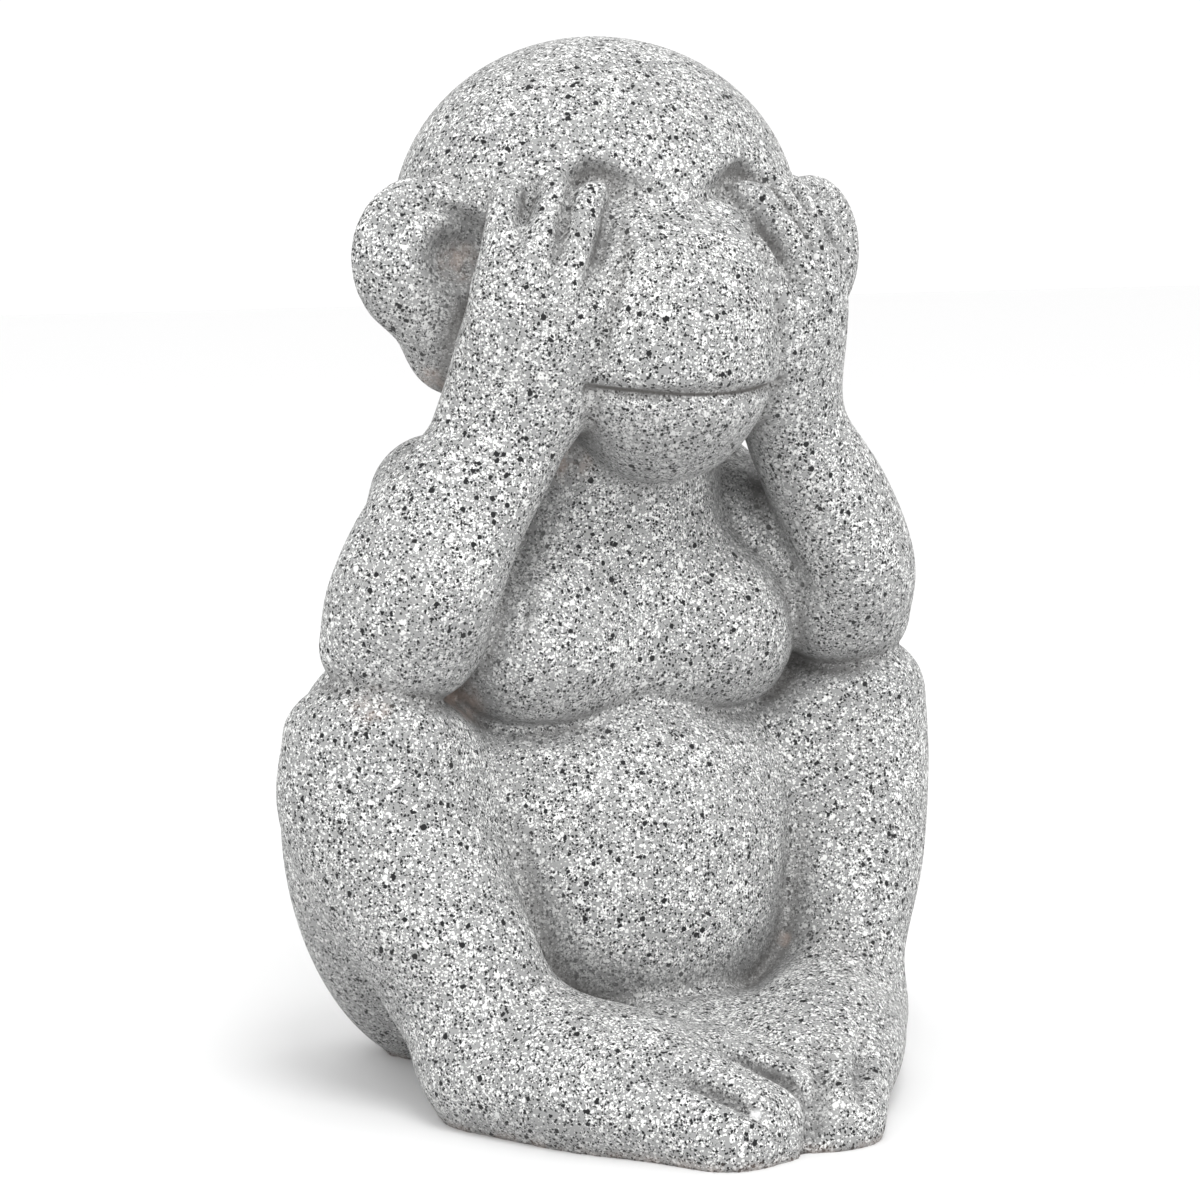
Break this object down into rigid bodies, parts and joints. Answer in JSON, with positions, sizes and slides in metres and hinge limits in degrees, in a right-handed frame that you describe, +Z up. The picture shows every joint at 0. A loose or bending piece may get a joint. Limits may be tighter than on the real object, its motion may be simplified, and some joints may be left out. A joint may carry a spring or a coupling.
{
  "type": "monkey statue",
  "caption": "Seated monkey with both hands over its eyes, elbows on raised knees and feet together, standing on a flat underside",
  "frame": {"origin": "on the ground under the middle of the statue's bounding box", "axes": "+Z up, the monkey looks along -Y and its left side is towards +X"},
  "size_m": [0.2832, 0.2474, 0.4005],
  "materials": {
    "granite_paint": "matt light grey stone paint with dense white and black flecks over terracotta"
  },
  "bodies": {
    "root": {"monkey_statue": "granite_paint"}
  },
  "joints": []
}
